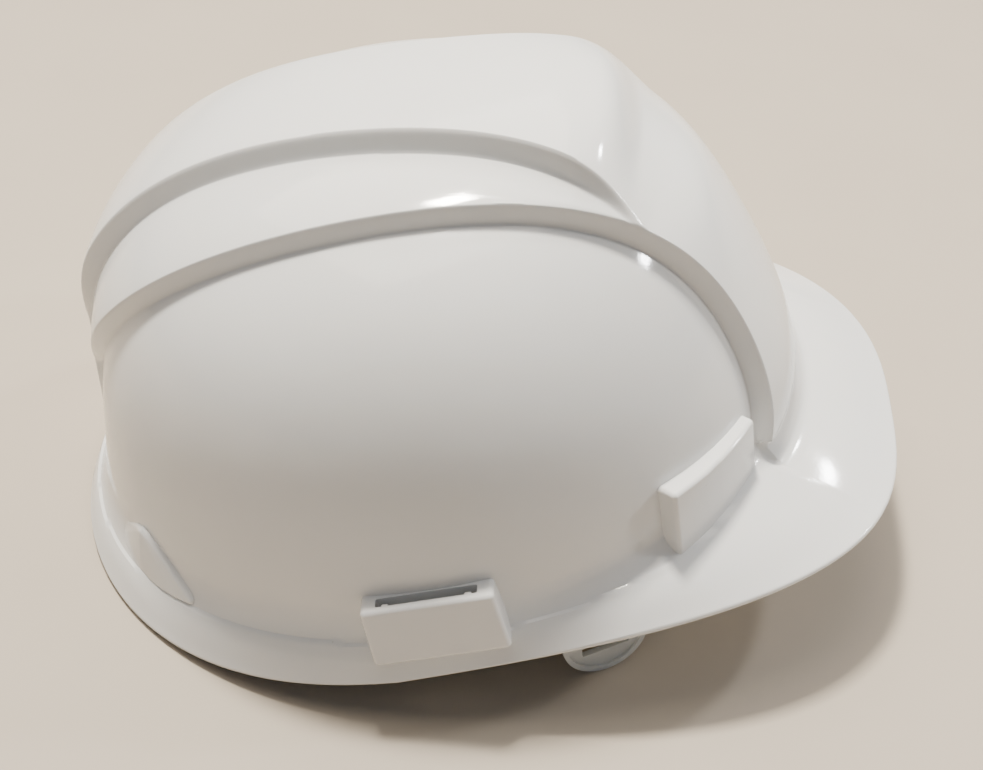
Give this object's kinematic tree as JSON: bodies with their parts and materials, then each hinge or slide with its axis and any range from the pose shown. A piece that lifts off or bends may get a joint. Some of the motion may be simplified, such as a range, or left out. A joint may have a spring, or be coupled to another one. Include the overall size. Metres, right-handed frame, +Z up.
{
  "type": "hard hat",
  "caption": "Hard hat: ridged shell with a front peak and side accessory slots, over a webbing harness whose headband a ratchet knob draws tighter.",
  "frame": {"origin": "centre of the bounding box in plan, on the table that the hat stands on, resting on its rear rim and its two chin-strap lugs with the peak tipped up 7.4 degrees", "axes": "+X to the peak, +Y to the wearer's left, +Z up from the table"},
  "size_m": [0.2785, 0.226, 0.1618],
  "materials": {
    "cap": "glossy white moulded polyethylene",
    "harness_plastic": "satin translucent natural polyethylene",
    "dark_plastic": "fine textured dark nylon",
    "webbing": "woven polyester webbing",
    "thread": "bonded sewing thread",
    "sweatband": "brushed terry over foam",
    "foam": "fabric-faced foam pad",
    "screw": "zinc-plated steel"
  },
  "bodies": {
    "cap": {"shell": "cap", "crown_strap_a": "webbing", "crown_strap_b": "webbing", "crown_stitching": "thread", "strap_end_stitching": "thread", "key_front_left": "harness_plastic", "key_front_right": "harness_plastic", "key_rear_left": "harness_plastic", "key_rear_right": "harness_plastic", "headband": "harness_plastic", "sweatband": "sweatband", "chin_lug_left": "harness_plastic", "chin_lug_right": "harness_plastic", "nape_link_left": "harness_plastic", "nape_link_right": "harness_plastic", "ratchet_housing": "dark_plastic", "ratchet_cover": "dark_plastic", "nape_pad": "foam"},
    "knob": {"ratchet_knob": "dark_plastic", "pinion": "dark_plastic", "detent_ring": "harness_plastic", "knob_screw": "screw"},
    "left_arm": {"nape_arm_left": "harness_plastic"},
    "right_arm": {"nape_arm_right": "harness_plastic"}
  },
  "joints": [
    {"name": "knob_turn", "type": "hinge", "parent": "cap", "child": "knob", "pos_m": [-0.12164, 0, 0.01836], "axis": [0.9917, 0, 0.1288], "range_deg": [-200, 200]},
    {"name": "left_arm_slide", "type": "hinge", "parent": "cap", "child": "left_arm", "pos_m": [-0.03239, 0, 0.02996], "axis": [-0.1288, 0, 0.9917], "range_deg": [-15.5, 15.5]},
    {"name": "right_arm_slide", "type": "hinge", "parent": "cap", "child": "right_arm", "pos_m": [-0.03239, 0, 0.02996], "axis": [-0.1288, 0, 0.9917], "range_deg": [-15.5, 15.5]}
  ],
  "couplings": [
    {"joint": "left_arm_slide", "follows": "knob_turn", "ratio": 0.075805},
    {"joint": "right_arm_slide", "follows": "knob_turn", "ratio": -0.074028}
  ]
}
